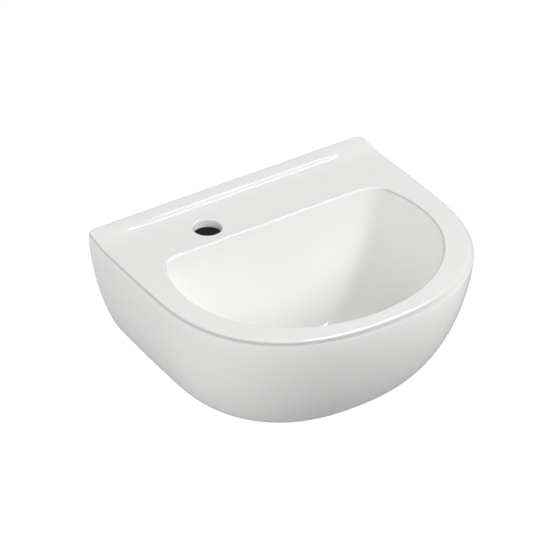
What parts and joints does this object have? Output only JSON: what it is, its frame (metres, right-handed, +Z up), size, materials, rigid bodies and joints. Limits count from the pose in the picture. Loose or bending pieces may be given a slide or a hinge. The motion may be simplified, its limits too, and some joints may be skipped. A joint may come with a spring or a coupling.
{
  "type": "wall hung basin",
  "caption": "Small D-shaped white ceramic wall hung hand-rinse basin with left-hand tap hole, raised back ledge, steel hanger bracket and push-open waste.",
  "frame": {"origin": "centre of the four hanger bracket fixings, on the wall plane", "axes": "+Y into the wall, -Y out of the wall towards the user, +X to the user's right when facing the wall, +Z up"},
  "size_m": [0.4, 0.4099, 0.1925],
  "materials": {
    "glaze": "gloss white glaze",
    "black_coating": "black powder coat",
    "white_plastic": "white nylon",
    "zinc_steel": "bright zinc plate",
    "chrome": "polished chrome plate",
    "black_rubber": "black rubber",
    "brass": "turned brass",
    "core_plastic": "white acetal",
    "spring_steel": "stainless wire"
  },
  "bodies": {
    "basin": {"basin_body": "glaze", "hanger_bracket": "black_coating", "bracket_screw_1": "zinc_steel", "bracket_screw_2": "zinc_steel", "bracket_screw_3": "zinc_steel", "bracket_screw_4": "zinc_steel", "bracket_washer_1": "zinc_steel", "bracket_washer_2": "zinc_steel", "bracket_washer_3": "zinc_steel", "bracket_washer_4": "zinc_steel", "securing_bolt_left": "zinc_steel", "securing_bush_left": "white_plastic", "securing_washer_left": "zinc_steel", "securing_nut_left": "zinc_steel", "securing_bolt_right": "zinc_steel", "securing_bush_right": "white_plastic", "securing_washer_right": "zinc_steel", "securing_nut_right": "zinc_steel", "waste_body": "chrome", "flange_seal": "black_rubber", "underside_seal": "black_rubber", "slip_washer": "white_plastic", "back_nut": "brass", "cartridge": "core_plastic", "push_spring": "spring_steel"},
    "plug": {"plug_spindle": "brass", "plug_seal": "black_rubber", "plug_cap": "chrome"}
  },
  "joints": [
    {"name": "plug_slide", "type": "slide", "parent": "basin", "child": "plug", "axis": [0, 0, 1], "range_m": [0, 0.008], "deforming": ["push_spring"]}
  ]
}
